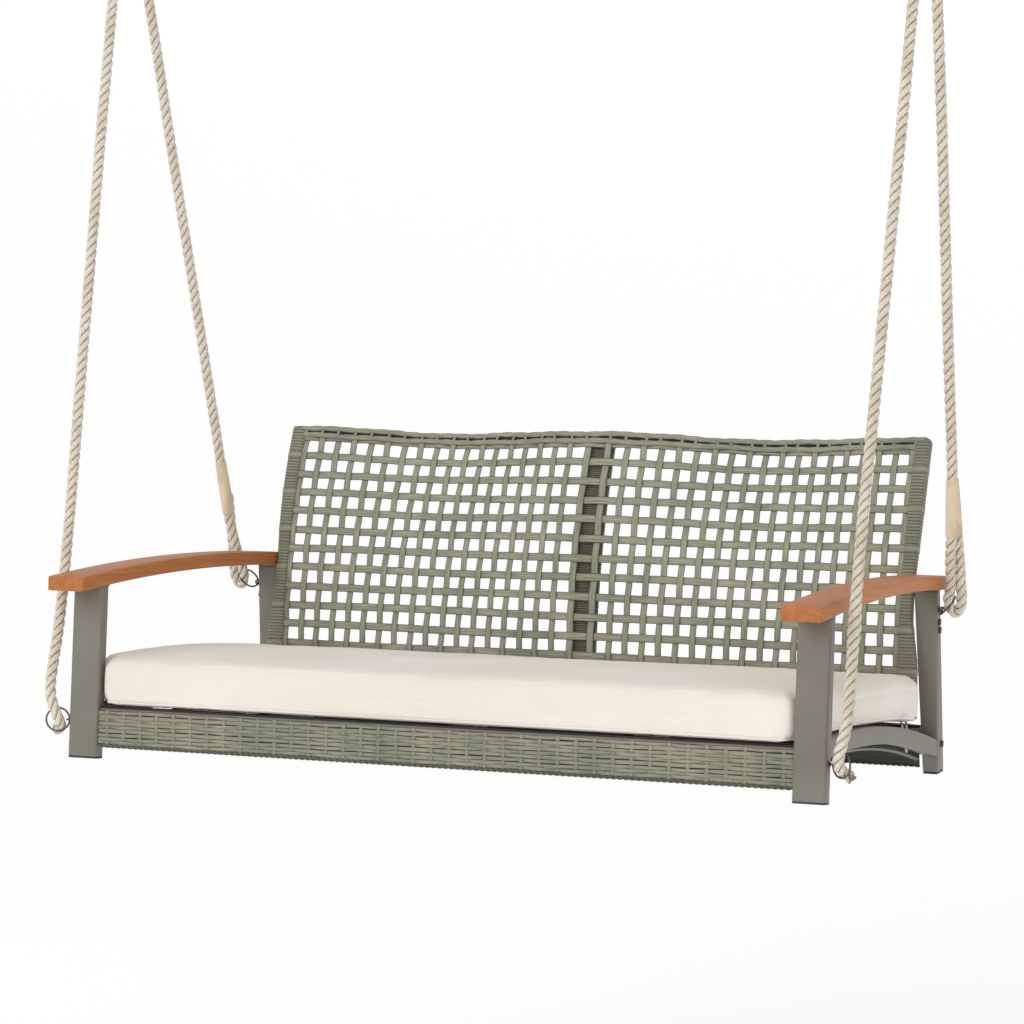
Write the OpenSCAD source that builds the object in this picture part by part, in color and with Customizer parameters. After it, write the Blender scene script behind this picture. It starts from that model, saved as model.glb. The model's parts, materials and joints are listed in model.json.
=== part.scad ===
// Two-seat porch swing: a woven bench with wood arms, hung on four twisted ropes from two
// plates that bolt to the underside of a beam.  The origin is on the beam's underside,
// midway between the plates.  +X is the sitter's left, +Y is the back, +Z is up.

/* [Bench] */
// Width over the outer faces of the front legs
bench_w = 1245; // [1100:5:1400]
// Height of the armrest's top face at its front end, above the leg ends
arm_front_z = 285; // [275:1:295]
// How far the bench hangs tilted back, in degrees
hang_tilt = 4.5; // [3:0.1:5]

/* [Legs] */
// Width of a front leg, across the bench
front_leg_w = 51; // [40:1:60]
// Depth of every leg, front to back
leg_d = 24; // [20:1:26]
// Backward lean of the front legs, in degrees
front_lean = 1.4; // [0:0.1:3]
// Forward lean of the rear legs, in degrees
rear_lean = 5.4; // [4:0.1:6]
// Wall of the leg tubes
leg_wall = 2; // [1.5:0.1:3]

/* [Armrests] */
// Thickness of an armrest
arm_thick = 22.5; // [18:0.5:25]
// Width of an armrest at its front end
arm_front_w = 63; // [55:1:70]
// Width of an armrest at its rear end
arm_rear_w = 51; // [48:1:60]
// Rise of the armrest's arch above its chord
arm_crown = 12; // [5:1:20]

/* [Back] */
// Recline of the back at its lowest opening, in degrees
back_recline = 1.6; // [0:0.1:4]
// Extra recline gained over each 300 mm of height, in degrees
back_curve = 16; // [10:0.5:20]
// Extra recline of the two scooped halves, in degrees
scoop_recline = 5.6; // [0:0.1:7]
// Width of an upright wicker strip
upright_w = 10.5; // [8:0.5:14]
// Width of a cross wicker strip
cross_w = 12.5; // [9:0.5:15]

/* [Seat] */
// Thickness of the cushion at its edge
cushion_thick = 74; // [60:1:80]
// Height of a side rail
rail_h = 27; // [22:1:30]

/* [Ropes] */
// Rope diameter
rope_d = 18; // [14:1:18]
// Thickness of the whipping twine layer
twine = 1.2; // [0.8:0.1:2]

/* [Hidden] */
$fn = 48;

// The ropes' lines meet at this point of the bench's own frame, 680 mm either side
hang_x = 680;
hang_y = 209;
hang_z = 1458;

// Hanger stack, from the beam down to the point where the rope lines meet
plate_t = 5;
pivot_drop = 38;
bolt_r = 5;
bore_play = 0.05;
barrel_r = 15;
barrel_len = 24;
bush_r = 9;
eye_r = 15;
eye_wire = 5;
ring_r = 42;
ring_wire = 4;
eye_drop = barrel_r + eye_r + eye_wire - 2;
ring_top_drop = pivot_drop + eye_drop + eye_r - eye_wire - ring_wire - 0.4;
ring_below_meet = 18;
meet_drop = ring_top_drop + ring_r - ring_below_meet;
bolt_gap = 72;
bolt_hole_r = 4.5;

// Bench outline
half_w = bench_w / 2;
rear_half = 606;
rear_foot_w = 24;
rear_top_w = 38.5;
rear_foot_d = 36;
rear_top_d = 16;
rear_top_z = 300;
rear_foot_y = 630;
leg_foot = 3;
seat_half = half_w - front_leg_w;

// Armrest arch
arm_y0 = -59;
arm_y1 = 622;
arm_rise = 33;
arm_overhang = 8;
arm_plate_t = 3;
arm_steps = 24;
arm_top = function(y) let (t = (y - arm_y0) / (arm_y1 - arm_y0))
    arm_front_z + arm_rise * t + 4 * arm_crown * t * (1 - t);
arm_low = function(y) arm_top(y) - arm_thick;
plate_low = function(y) arm_low(y) - arm_plate_t;

// Side rail and seat deck, both arched front to back
rail_top_z = 96;
rail_peak_y = 230;
rail_bow = 2.59e-4;
rail_w = 23;
deck_bow = 1.45e-4;
deck_t = 4;
rail_top = function(y) rail_top_z - rail_bow * pow(y - rail_peak_y, 2);
deck_top = function(y) rail_top_z - 1 - deck_bow * pow(y - 290, 2);
front_rail_y = [9.5, 31];
rear_rail_y = [600, 622];

// Back surface: x across, s up the slope from the centre of the lowest row of openings
back_y = 590.6;
back_z = 180.4;
back_half = 572.5;
scoop_depth = 6.7;
cols = 37;
rows = 11;
col_pitch = 29;
row_pitch = 32.6;
centre_gap = 7.9;
back_low_s = -40;
back_high_s = 352;
stile_low_s = -93;
stile_w = 25;
stile_d = 20;
strip_t = 1.4;
post_w = 38;
bar_front = -6;
bar_half = 8;
bar_h = 20;
top_bar_low = 349;
top_bar_high = 364;
strip_gap = 0.2;
function scoop(x) = (1 - cos(360 * x / back_half)) / 2;
function lean_at(x, s) = back_recline + scoop_recline * scoop(x) + back_curve * s / 300;
function mean_lean(x, s) = lean_at(x, s / 2);
// A point of the back at x and s, moved out of the surface by d (positive is backward)
function on_back(x, s, d) = [x,
    back_y + s * sin(mean_lean(x, s)) + scoop_depth * scoop(x) + d * cos(lean_at(x, s)),
    back_z + s * cos(mean_lean(x, s)) - d * sin(lean_at(x, s))];
function upright_x(k) = (k - cols / 2) * col_pitch + (k < cols / 2 ? -1 : 1)
    * (abs(k - cols / 2) < 1 ? centre_gap / 2 : centre_gap);

// Eye bolts: where the eye's centre lies, on the right-hand side of the bench
eye_bolt_wire = 1.6;
eye_bolt_r = 4;
eye_reach = 0.2 + eye_bolt_r + eye_bolt_wire;
front_eye = [half_w, 14.4, 58];
rear_eye = [rear_half, 614, 264];
lower_ring_r = 18.2;
lower_ring_wire = 1.5;
front_ring_at = [half_w + 21.5, 5.25, 58];
front_ring_normal = [0.503, 0.864, 0];
rear_ring_at = [rear_half + 17.5, 602.2, 271.5];
rear_ring_normal = [-0.713, -0.335, 0.615];
thread_r = 3;

// Rope routes in the bench's frame, right-hand side, from the upper tail to the lower tail
front_route = [[660, 188, 1330], [663, 195, 1375], [666, 198, 1400], [680, 202, 1413], [694, 198, 1400],
    [689, 195, 1375], [681, 190, 1340], [676, 183, 1290], [668, 133, 970], [660, 83, 650], [652, 33, 330],
    [652.5, 13, 195], [653.5, 2, 145], [652.5, -6, 112], [648.5, -9, 90], [643.5, -6, 74], [641, -0.5, 62],
    [641.5, 6, 54], [644, 14, 48], [650, 18.5, 43], [657, 17, 39]];
rear_route = [[660, 250, 1330], [663, 239, 1372], [666, 227, 1402], [680, 221, 1414], [694, 227, 1402],
    [689, 238, 1372], [681, 248, 1340], [674, 264, 1290], [663, 368, 970], [652, 472, 650], [646, 530, 470],
    [641, 551, 385], [636, 567, 340], [633, 584, 303], [628, 590, 282], [631, 596, 266], [637, 599, 261],
    [644, 599, 266], [648, 595, 282], [648, 590, 303], [647, 581, 340], [645, 560, 415]];

// Colours
steel = [0.72, 0.72, 0.7];
nylon = [0.9, 0.89, 0.84];
rope_tone = [0.87, 0.8, 0.7];
twine_tone = [0.83, 0.73, 0.58];
powder = [0.47, 0.46, 0.42];
wicker = [0.52, 0.55, 0.46];
dark_wicker = [0.28, 0.28, 0.24];
wood = [0.7, 0.4, 0.22];
canvas = [0.91, 0.88, 0.82];
black = [0.12, 0.12, 0.12];

// ---- placing ----

// Puts the bench's own frame under the beam: tilted back about the line where the ropes meet
module hung() {
    translate([0, 0, -meet_drop]) rotate([-hang_tilt, 0, 0]) translate([0, -hang_y, -hang_z]) children();
}

// side is 1 for the sitter's left hand (+X) and -1 for the other
module on_side(side) {
    mirror([side > 0 ? 0 : 1, 0, 0]) children();
}

module both_sides() {
    on_side(1) children();
    on_side(-1) children();
}

// Turns the Z axis onto a direction
module aim(v) {
    rotate([0, acos(v[2] / norm(v)), atan2(v[1], v[0])]) children();
}

// ---- shapes ----

module along_x(length, r) {
    rotate([0, 90, 0]) cylinder(h = length, r = r);
}

module torus(mean_r, wire_r) {
    rotate_extrude($fn = 64) translate([mean_r, 0]) circle(r = wire_r, $fn = 24);
}

// Prism between two heights that vary front to back, from x0 to x1
module band(x0, x1, y0, y1, low, high, steps) {
    ys = [for (i = [0:steps]) y0 + (y1 - y0) * i / steps];
    translate([x0, 0, 0]) rotate([90, 0, 90]) linear_extrude(x1 - x0)
        polygon(concat([for (y = ys) [y, low(y)]], [for (i = [steps:-1:0]) [ys[i], high(ys[i])]]));
}

function unit(v) = v / norm(v);
function flatten(n, t) = unit(n - (n * t) * t);
function tangents(p) = let (last = len(p) - 1)
    [for (i = [0:last]) unit(p[min(i + 1, last)] - p[max(i - 1, 0)])];
// Ring directions that follow the route without twisting
function normals(t, start) = [for (i = 0, n = flatten(start, t[0]); i < len(t);
    i = i + 1, n = flatten(n, t[min(i, len(t) - 1)])) n];
function tube_faces(rings, sides) = concat(
    [for (i = [0:rings - 2]) for (j = [0:sides - 1]) let (k = (j + 1) % sides)
        [i * sides + j, i * sides + k, (i + 1) * sides + k, (i + 1) * sides + j]],
    [[for (j = [sides - 1:-1:0]) j]], [[for (j = [0:sides - 1]) (rings - 1) * sides + j]]);

// Round tube along a route
module sweep(route, r, sides) {
    t = tangents(route);
    n = normals(t, [1, 0.1, 0]);
    points = [for (i = [0:len(route) - 1]) let (b = cross(t[i], n[i])) for (j = [0:sides - 1])
        route[i] + r * (cos(360 * j / sides) * n[i] + sin(360 * j / sides) * b)];
    polyhedron(points, tube_faces(len(route), sides));
}

// Bar along X that follows the back: s0 to s1 up the slope, d0 to d1 through it
module back_bar(x0, x1, s0, s1, d0, d1, steps) {
    points = [for (i = [0:steps]) let (x = x0 + (x1 - x0) * i / steps)
        each [on_back(x, s0, d0), on_back(x, s1, d0), on_back(x, s1, d1), on_back(x, s0, d1)]];
    polyhedron(points, tube_faces(steps + 1, 4));
}

// Thin upright strip that follows the back, on its slope across as well as up
module back_strip(x0, x1, s0, s1, d0, d1, steps) {
    points = [for (i = [0:steps]) let (s = s0 + (s1 - s0) * i / steps)
        each [on_back(x0, s, d0), on_back(x0, s, d1), on_back(x1, s, d1), on_back(x1, s, d0)]];
    polyhedron(points, tube_faces(steps + 1, 4));
}

// Stile or post that follows the back at one x, made as a flat-sided prism
module back_upright(x, w, s0, s1, d0, d1) {
    steps = 8;
    ss = [for (i = [0:steps]) s0 + (s1 - s0) * i / steps];
    front = [for (s = ss) let (p = on_back(x, s, d0)) [p[1], p[2]]];
    rear = [for (i = [steps:-1:0]) let (p = on_back(x, ss[i], d1)) [p[1], p[2]]];
    translate([x - w / 2, 0, 0]) rotate([90, 0, 90]) linear_extrude(w) polygon(concat(front, rear));
}

// ---- beam hardware ----

module plate() {
    ear_x = barrel_len / 2 + 1;
    ear_t = 4;
    color(steel) translate([hang_x, 0, 0]) difference() {
        union() {
            translate([-32, -52, -plate_t]) cube([64, 104, plate_t]);
            for (x = [ear_x, -ear_x - ear_t]) translate([x, 0, 0]) {
                translate([0, -14, -pivot_drop]) cube([ear_t, 28, pivot_drop - plate_t + 0.5]);
                translate([0, 0, -pivot_drop]) along_x(ear_t, 14);
            }
        }
        for (y = [-bolt_gap / 2, bolt_gap / 2]) translate([0, y, -plate_t - 1])
            cylinder(h = plate_t + 2, r = bolt_hole_r);
        translate([-40, 0, -pivot_drop]) along_x(80, bolt_r + bore_play);
    }
}

module pivot_bolt() {
    reach = barrel_len / 2 + 5;
    color(steel) translate([hang_x, 0, -pivot_drop]) {
        translate([-reach - 11, 0, 0]) along_x(2 * reach + 12, bolt_r);
        translate([reach, 0, 0]) along_x(1.5, 10);
        translate([reach + 1.5, 0, 0]) rotate([0, 90, 0]) cylinder(h = 6.4, r = 9.8, $fn = 6);
        translate([-reach - 1.5, 0, 0]) along_x(1.5, 10);
        translate([-reach - 9.5, 0, 0]) rotate([0, 90, 0]) cylinder(h = 8, r = 9.8, $fn = 6);
    }
}

module bush() {
    color(nylon) translate([hang_x, 0, -pivot_drop]) difference() {
        union() {
            translate([-barrel_len / 2 - 0.9, 0, 0]) along_x(barrel_len + 1.8, bush_r);
            for (x = [-barrel_len / 2 - 0.9, barrel_len / 2 + 0.1]) translate([x, 0, 0]) along_x(0.8, 13);
        }
        translate([-barrel_len, 0, 0]) along_x(2 * barrel_len, bolt_r + bore_play);
    }
}

module hanger() {
    color(steel) translate([hang_x, 0, -pivot_drop]) {
        difference() {
            translate([-barrel_len / 2, 0, 0]) along_x(barrel_len, barrel_r);
            translate([-barrel_len, 0, 0]) along_x(2 * barrel_len, bush_r + bore_play);
        }
        translate([0, 0, -eye_drop]) rotate([90, 0, 0]) torus(eye_r, eye_wire);
    }
}

// ---- rope and its rings ----

module top_ring() {
    color(steel) translate([hang_x, 0, -ring_top_drop - ring_r]) rotate([0, 90, 0]) torus(ring_r, ring_wire);
}

module rope(route) {
    color(rope_tone) hung() sweep(route, rope_d / 2, 8);
}

module front_rope() {
    rope(front_route);
}

module rear_rope() {
    rope(rear_route);
}

// Sleeve of twine round two rope legs, between two pairs of points
module sleeve(a, b, dir, h) {
    hull() {
        for (p = [a, b]) translate(p) aim(dir) cylinder(h = h, r = rope_d / 2 + twine, $fn = 24);
    }
}

module top_whippings() {
    color(twine_tone) hung() {
        sleeve([660.5, 189, 1322], [680, 188, 1322], [0.03, 0.15, 1], 30);
        sleeve([660.5, 253, 1322], [680, 254, 1322], [0.03, -0.33, 1], 30);
    }
}

module rear_whipping() {
    color(twine_tone) hung() hull() {
        translate([646, 530, 470]) aim([0.03, -0.325, 1]) cylinder(h = 2, r = rope_d / 2 + twine, $fn = 24);
        for (p = [[641, 551, 385], [645.5, 567, 385]]) translate(p) aim([0.03, -0.325, 1])
            cylinder(h = 3, r = rope_d / 2 + twine, $fn = 24);
    }
}

module lower_ring(at, normal) {
    color(steel) hung() translate(at) aim(normal) torus(lower_ring_r, lower_ring_wire);
}

module front_ring() {
    lower_ring(front_ring_at, front_ring_normal);
}

module rear_ring() {
    lower_ring(rear_ring_at, rear_ring_normal);
}

// Eye bolt that screws in along -X from the face it sits on; hole_dir is the eye's axis
module eye_bolt(hole_dir) {
    translate([-20, 0, 0]) along_x(22.4, thread_r);
    along_x(1, 6.5);
    translate([eye_reach, 0, 0]) aim(hole_dir) torus(eye_bolt_r, eye_bolt_wire);
}

module rivet_nut() {
    difference() {
        union() {
            translate([-16, 0, 0]) along_x(16, 4.4);
            translate([-leg_wall - 2.5, 0, 0]) along_x(2.5, 6);
        }
        translate([-30, 0, 0]) along_x(40, thread_r + bore_play);
    }
}

module eye_bolts() {
    color(steel) hung() both_sides() {
        translate(front_eye) eye_bolt([0, 0, 1]);
        translate(rear_eye) eye_bolt([0, 0.81, 0.58]);
    }
}

module rivet_nuts() {
    color(steel) hung() both_sides() {
        translate(front_eye) rivet_nut();
        translate(rear_eye) rivet_nut();
    }
}

// ---- legs and arms ----

module rounded_section(w, d, r) {
    translate([r, 0]) square([w - 2 * r, d]);
    translate([0, r]) square([w, d - 2 * r]);
    for (x = [r, w - r]) for (y = [r, d - r]) translate([x, y]) circle(r = r, $fn = 32);
}

// Everything above the arm plates
module above_plates() {
    band(500, 700, arm_y0 - 20, arm_y1 + 90, plate_low, function(y) 500, arm_steps);
}

module front_leg_body(inset) {
    translate([seat_half + inset, inset, 0]) rotate([-front_lean, 0, 0]) translate([0, 0, leg_foot])
        linear_extrude(400) rounded_section(front_leg_w - 2 * inset, leg_d - 2 * inset, 5 - inset);
}

// One level of the tapered rear leg: as wide as w, as deep as d
function rear_level(w, d, z, inset) = [[rear_half - w + inset, inset, z],
    [rear_half - w + inset, d - inset, z], [rear_half - inset, d - inset, z], [rear_half - inset, inset, z]];

module rear_leg_body(inset) {
    low = leg_foot - (inset > 0 ? 5 : 0);
    translate([0, rear_foot_y, 0]) rotate([rear_lean, 0, 0]) polyhedron(
        concat(rear_level(rear_foot_w, rear_foot_d, low, inset),
            rear_level(rear_top_w, rear_top_d, rear_top_z, inset)), tube_faces(2, 4));
}

module front_leg() {
    color(powder) hung() difference() {
        front_leg_body(0);
        translate([0, 0, -5]) front_leg_body(leg_wall);
        above_plates();
        translate(front_eye) translate([-leg_wall - 5, 0, 0]) along_x(20, 4.4 + bore_play);
    }
}

module rear_leg() {
    color(powder) hung() difference() {
        rear_leg_body(0);
        rear_leg_body(leg_wall);
        above_plates();
        translate(rear_eye) translate([-leg_wall - 5, 0, 0]) along_x(20, 4.4 + bore_play);
    }
}

module leg_end_caps() {
    plug = leg_wall + 0.3;
    color(black) hung() both_sides() {
        translate([seat_half, 0, 0]) rotate([-front_lean, 0, 0]) {
            linear_extrude(leg_foot) rounded_section(front_leg_w, leg_d, 5);
            translate([plug, plug, 0]) linear_extrude(14)
                rounded_section(front_leg_w - 2 * plug, leg_d - 2 * plug, 2.5);
        }
        translate([rear_half - rear_foot_w, rear_foot_y, 0]) rotate([rear_lean, 0, 0]) {
            linear_extrude(leg_foot) rounded_section(rear_foot_w, rear_foot_d, 3);
            translate([plug, plug, 0]) linear_extrude(14)
                rounded_section(rear_foot_w - 2 * plug, rear_foot_d - 2 * plug - 1.5, 2.5);
        }
    }
}

module arm_plate_pair() {
    seat = function(y) arm_low(y) - 0.05;
    band(seat_half, half_w, 6, 31, plate_low, seat, 2);
    band(rear_half - rear_top_w + 1, rear_half, 602.5, 619.5, plate_low, seat, 2);
}

module arm_plates() {
    color(powder) hung() both_sides() arm_plate_pair();
}

module arm_screw(x, y) {
    translate([x, y, arm_low(y) - arm_plate_t - 2.2]) {
        cylinder(h = 2.2, r = 4.5);
        cylinder(h = 17, r = 2);
    }
}

module arm_screws() {
    color(steel) hung() both_sides() {
        for (at = [[585, 18.5], [609, 18.5], [588, 610.5]]) arm_screw(at[0], at[1]);
    }
}

module armrest() {
    outer = half_w + arm_overhang;
    rear_inner = rear_half - rear_top_w + 1;
    plan = [[outer - arm_front_w, arm_y0], [outer, arm_y0],
        [rear_inner + arm_rear_w, arm_y1], [rear_inner, arm_y1]];
    color(wood) hung() intersection() {
        band(500, 700, arm_y0, arm_y1, arm_low, arm_top, arm_steps);
        linear_extrude(400) polygon(plan);
    }
}

// ---- seat ----

module side_rail() {
    wall = 2;
    x0 = rear_half - rail_w;
    color(powder) hung() difference() {
        band(x0, rear_half, 15, 640, function(y) rail_top(y) - rail_h, rail_top, 24);
        band(x0 + wall, rear_half - wall, 10, 645, function(y) rail_top(y) - rail_h + wall,
            function(y) rail_top(y) - wall, 24);
        front_leg_body(0);
        rear_leg_body(0);
    }
}

// Square tube along X
module cross_tube(half, ys, zs) {
    wall = 1.5;
    difference() {
        translate([-half, ys[0], zs[0]]) cube([2 * half, ys[1] - ys[0], zs[1] - zs[0]]);
        translate([-half - 1, ys[0] + wall, zs[0] + wall])
            cube([2 * half + 2, ys[1] - ys[0] - 2 * wall, zs[1] - zs[0] - 2 * wall]);
    }
}

module front_rail() {
    color(powder) hung() cross_tube(seat_half, front_rail_y, [54, 79]);
}

module apron_rod() {
    color(powder) hung() translate([-seat_half, 16, 27]) along_x(2 * seat_half, 6);
}

module front_apron() {
    color(wicker) hung() translate([-seat_half, 5, 18]) cube([2 * seat_half, 4, 58.5]);
}

module rear_rail() {
    color(powder) hung() cross_tube(rear_half - rear_foot_w, rear_rail_y, [48, 74.5]);
}

module rear_apron() {
    color(dark_wicker) hung() translate([-rear_half + rear_foot_w + 4, 622.5, 10])
        cube([2 * (rear_half - rear_foot_w - 4), 4, 68]);
}

module seat_ribs() {
    color(powder) hung() for (x = [-300, 0, 300]) difference() {
        band(x - 10, x + 10, front_rail_y[1], rear_rail_y[0], function(y) deck_top(y) - deck_t - 20,
            function(y) deck_top(y) - deck_t - 0.5, 16);
        band(x - 8.5, x + 8.5, 0, 700, function(y) deck_top(y) - deck_t - 18.5,
            function(y) deck_top(y) - deck_t - 1.5, 16);
    }
}

module seat_deck() {
    reach = rear_half - rail_w;
    panels = 6;
    panel_d = (rear_rail_y[1] - front_rail_y[1]) / panels;
    seam = 0.3;
    color(dark_wicker) hung() difference() {
        for (i = [0:panels - 1]) let (y0 = front_rail_y[1] + i * panel_d)
            band(-reach, reach, y0, y0 + panel_d - seam, function(y) deck_top(y) - deck_t, deck_top, 4);
        both_sides() translate([seat_half - 9, 588, 0]) cube([8, 3.5, 200]);
    }
}

module bolt_head(at) {
    translate(at) along_x(2.6, 5.5);
    translate(at) translate([-12, 0, 0]) along_x(13, 2.5);
}

module frame_bolts() {
    color(black) hung() both_sides() for (at = [[rear_half, 616, 244], [rear_half, 619, 231],
        [rear_half, 648, 48]]) bolt_head(at);
}

module cushion() {
    gap = 0.5;
    half_depth = 290;
    edge_drop = 8;
    wing_y = 33;
    wing_half = rear_half - 3;
    low = function(y) deck_top(y) + gap;
    wing_low = function(y) max(deck_top(y), rail_top(y)) + gap;
    high = function(y) low(y) + cushion_thick - edge_drop * pow((y - half_depth) / half_depth, 4);
    color(canvas) hung() {
        band(-rear_half + rail_w + 1, rear_half - rail_w - 1, wing_y, 2 * half_depth + 1, low, high, 24);
        band(-seat_half + 1.5, seat_half - 1.5, 1, wing_y + 1, low, high, 4);
        both_sides() band(rear_half - rail_w - 2, wing_half, wing_y, 2 * half_depth + 1, wing_low, high, 24);
    }
}

module cushion_ties() {
    color(canvas) hung() both_sides() translate([seat_half - 8, 589, 60]) cube([6, 1.5, 22]);
}

// ---- back ----

// How far the back's side edge draws in, at a distance s up the slope
function drawn_in(s) = 5.5 * exp(-pow((s - 100) / 90, 2));

module back_stile() {
    steps = 24;
    x0 = back_half - stile_w;
    points = [for (i = [0:steps]) let (s = stile_low_s + (back_high_s + bar_half - stile_low_s) * i / steps,
        x1 = back_half - drawn_in(s))
        each [on_back(x0, s, bar_front), on_back(x0, s, bar_front + stile_d),
            on_back(x1, s, bar_front + stile_d), on_back(x1, s, bar_front)]];
    color(wicker) hung() polyhedron(points, tube_faces(steps + 1, 4));
}

module back_top_rail() {
    reach = back_half - stile_w;
    color(wicker) hung() back_bar(-reach, reach, top_bar_low, top_bar_high, bar_front, bar_front + bar_h, 48);
}

module back_bottom_rail() {
    reach = back_half - stile_w;
    low = back_low_s - bar_half;
    color(wicker) hung() back_bar(-reach, reach, low, low + bar_h, bar_front, bar_front + bar_h, 48);
}

module back_centre_post() {
    color(wicker) hung() back_upright(0, post_w, back_low_s + 12.5, top_bar_low - 0.5, 3, 15);
}

module back_uprights() {
    color(wicker) hung() for (k = [0:cols]) {
        x = upright_x(k);
        full_w = abs(k - cols / 2) < 1 ? upright_w + centre_gap : upright_w;
        half_strip = min(full_w / 2, back_half - stile_w - abs(x) - 0.2);
        back_strip(x - half_strip, x + half_strip, back_low_s + bar_h - bar_half + 0.2, top_bar_low - 0.2,
            strip_gap, strip_gap + strip_t, 8);
    }
}

module back_cross_strips() {
    reach = back_half - stile_w - 0.2;
    color(wicker) hung() for (i = [0:rows]) {
        s = (rows - 0.5 - i) * row_pitch - cross_w / 2;
        back_bar(-reach, reach, s, s + cross_w, -strip_t, 0, 64);
    }
}

on_side(1) plate();  // plate_left
on_side(-1) plate();  // plate_right
on_side(1) pivot_bolt();  // pivot_bolt_left
on_side(-1) pivot_bolt();  // pivot_bolt_right
on_side(1) bush();  // bush_left
on_side(-1) bush();  // bush_right
on_side(1) hanger();  // hanger_left
on_side(-1) hanger();  // hanger_right
on_side(1) top_ring();  // top_ring_left
on_side(-1) top_ring();  // top_ring_right
on_side(1) front_rope();  // front_rope_left
on_side(-1) front_rope();  // front_rope_right
on_side(1) rear_rope();  // rear_rope_left
on_side(-1) rear_rope();  // rear_rope_right
on_side(1) top_whippings();  // top_whippings_left
on_side(-1) top_whippings();  // top_whippings_right
on_side(1) rear_whipping();  // rear_whipping_left
on_side(-1) rear_whipping();  // rear_whipping_right
on_side(1) front_ring();  // front_ring_left
on_side(-1) front_ring();  // front_ring_right
on_side(1) rear_ring();  // rear_ring_left
on_side(-1) rear_ring();  // rear_ring_right
eye_bolts();
rivet_nuts();
on_side(1) front_leg();  // front_leg_left
on_side(-1) front_leg();  // front_leg_right
on_side(1) rear_leg();  // rear_leg_left
on_side(-1) rear_leg();  // rear_leg_right
leg_end_caps();
arm_plates();
arm_screws();
on_side(1) armrest();  // armrest_left
on_side(-1) armrest();  // armrest_right
on_side(1) side_rail();  // side_rail_left
on_side(-1) side_rail();  // side_rail_right
front_rail();
apron_rod();
front_apron();
rear_rail();
rear_apron();
seat_ribs();
seat_deck();
frame_bolts();
on_side(1) back_stile();  // back_stile_left
on_side(-1) back_stile();  // back_stile_right
back_top_rail();
back_bottom_rail();
back_centre_post();
back_uprights();
back_cross_strips();
cushion();
cushion_ties();
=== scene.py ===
# %% [markdown]
# # A woven porch swing
# The swing is a wicker bench with wood arms, hung on four laid ropes.  The measured model is loaded
# first and stays fixed: every piece made here sits where that model says, and moves with its bodies.

# %% Load the measured model
import json
import math

import bpy
import numpy as np
from mathutils import Matrix, Vector
from mathutils.bvhtree import BVHTree

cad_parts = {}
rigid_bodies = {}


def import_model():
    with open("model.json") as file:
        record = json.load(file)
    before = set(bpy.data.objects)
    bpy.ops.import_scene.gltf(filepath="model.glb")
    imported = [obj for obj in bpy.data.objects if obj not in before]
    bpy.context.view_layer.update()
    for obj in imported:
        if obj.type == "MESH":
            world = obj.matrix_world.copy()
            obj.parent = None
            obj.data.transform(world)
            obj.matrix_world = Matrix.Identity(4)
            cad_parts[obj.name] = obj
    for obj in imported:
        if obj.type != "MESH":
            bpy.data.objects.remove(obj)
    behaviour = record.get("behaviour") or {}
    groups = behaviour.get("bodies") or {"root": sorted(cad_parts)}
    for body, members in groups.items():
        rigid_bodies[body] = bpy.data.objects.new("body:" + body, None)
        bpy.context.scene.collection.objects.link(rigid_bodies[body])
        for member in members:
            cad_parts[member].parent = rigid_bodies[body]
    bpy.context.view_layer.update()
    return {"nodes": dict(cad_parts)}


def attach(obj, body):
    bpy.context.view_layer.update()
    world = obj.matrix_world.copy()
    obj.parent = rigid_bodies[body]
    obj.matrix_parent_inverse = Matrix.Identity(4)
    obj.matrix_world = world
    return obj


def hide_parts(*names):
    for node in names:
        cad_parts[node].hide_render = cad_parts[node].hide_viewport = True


for leftover in list(bpy.data.objects):
    bpy.data.objects.remove(leftover)

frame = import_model()
nodes = frame["nodes"]

# %% [markdown]
# The bench hangs tilted back a few degrees.  Its parts are easier to describe level, in the bench's own
# millimetres, so one function tilts and hangs a whole array of such points under the beam.

# %% From bench millimetres to the hanging swing
HANG_TILT = math.radians(4.5)
ROPES_MEET = np.array([0.0, 0.209, 1.458])
MEET_DROP = 0.1006
MM = 0.001


def hung(points):
    """Bench points in millimetres, as metres in the hanging position."""
    p = np.asarray(points, float) * MM - ROPES_MEET
    c, s = math.cos(HANG_TILT), math.sin(HANG_TILT)
    return np.stack([p[:, 0], p[:, 1] * c + p[:, 2] * s, p[:, 2] * c - p[:, 1] * s - MEET_DROP], axis=1)


def stack(x, y, z):
    x, y, z = np.broadcast_arrays(x, y, z)
    return np.stack([x, y, z], axis=1).astype(float)


# %% [markdown]
# The camera looks at the bench from the front and a little to its left-hand side, with a long lens, so
# the ropes stay nearly upright.  It comes first, with the ropes, because the ropes leave the view at the
# top and their hidden part must stay close.

# %% Camera
camera = bpy.data.objects.new("camera", bpy.data.cameras.new("camera"))
bpy.context.collection.objects.link(camera)
camera.data.sensor_width = 36
camera.data.lens = 121.3
camera.data.clip_end = 100
CAMERA_YAW, CAMERA_PITCH, CAMERA_ROLL = (math.radians(a) for a in (23.228, -4.692, -0.292))
camera.matrix_world = (
    Matrix.Translation((2.136, -4.9761, -0.7153))
    @ Matrix.Rotation(CAMERA_YAW, 4, "Z")
    @ Matrix.Rotation(math.pi / 2 + CAMERA_PITCH, 4, "X")
    @ Matrix.Rotation(CAMERA_ROLL, 4, "Z")
)
bpy.context.scene.camera = camera
print("camera at", tuple(round(v, 3) for v in camera.matrix_world.translation))

# %% [markdown]
# Most of this swing is strips, strands and wraps.  All of them start as a flat grid primitive.  The grid's
# length becomes the length of the strip and its width is rolled round into a tube: each vertex is moved to
# its place by a small function.  The grid's own UV map survives, scaled to metres, so a finish can follow
# the strip.  This is quicker than bending hundreds of boxes and it never twists.

# %% A grid rolled into a strip
STRAND_GIRTH = 0.03


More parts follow.
